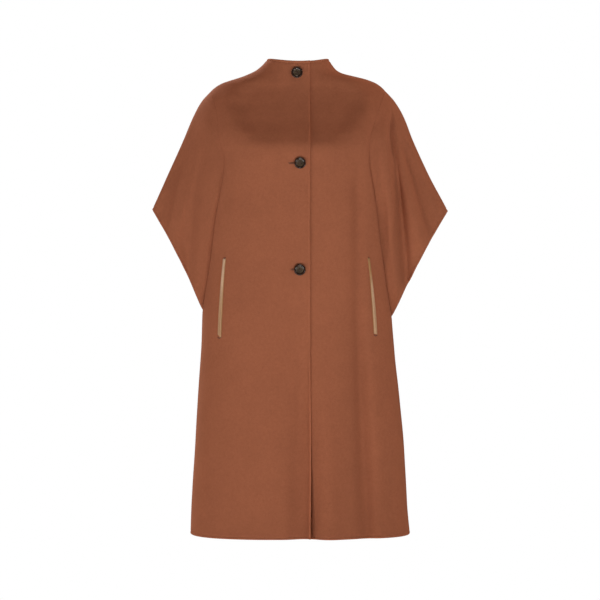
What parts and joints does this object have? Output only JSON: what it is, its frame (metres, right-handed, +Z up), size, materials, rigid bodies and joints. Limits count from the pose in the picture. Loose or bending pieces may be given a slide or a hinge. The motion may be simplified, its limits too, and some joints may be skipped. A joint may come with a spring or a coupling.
{
  "type": "wool cape",
  "caption": "Knee-length wool cape coat with a funnel neck, folded cape sleeves, a buttoned lap and slanted pocket welts, filled out as worn.",
  "frame": {"origin": "in the neck, level with the shoulders that hold the cape up, on the plane of the side seams", "axes": "+Z up the body, the fronts face -Y, the wearer's right is towards -X"},
  "size_m": [0.6484, 0.3423, 1.0331],
  "materials": {
    "wool": "rust-brown double-faced felted wool, matt with a short nap",
    "welt": "pale beige leather, satin",
    "button": "dark mottled horn, polished"
  },
  "bodies": {
    "root": {"front_right": "wool", "front_left": "wool", "back": "wool", "sleeve_right": "wool", "sleeve_left": "wool", "welt_right": "welt", "welt_left": "welt", "button_top": "button", "button_middle": "button", "button_bottom": "button"}
  },
  "joints": []
}
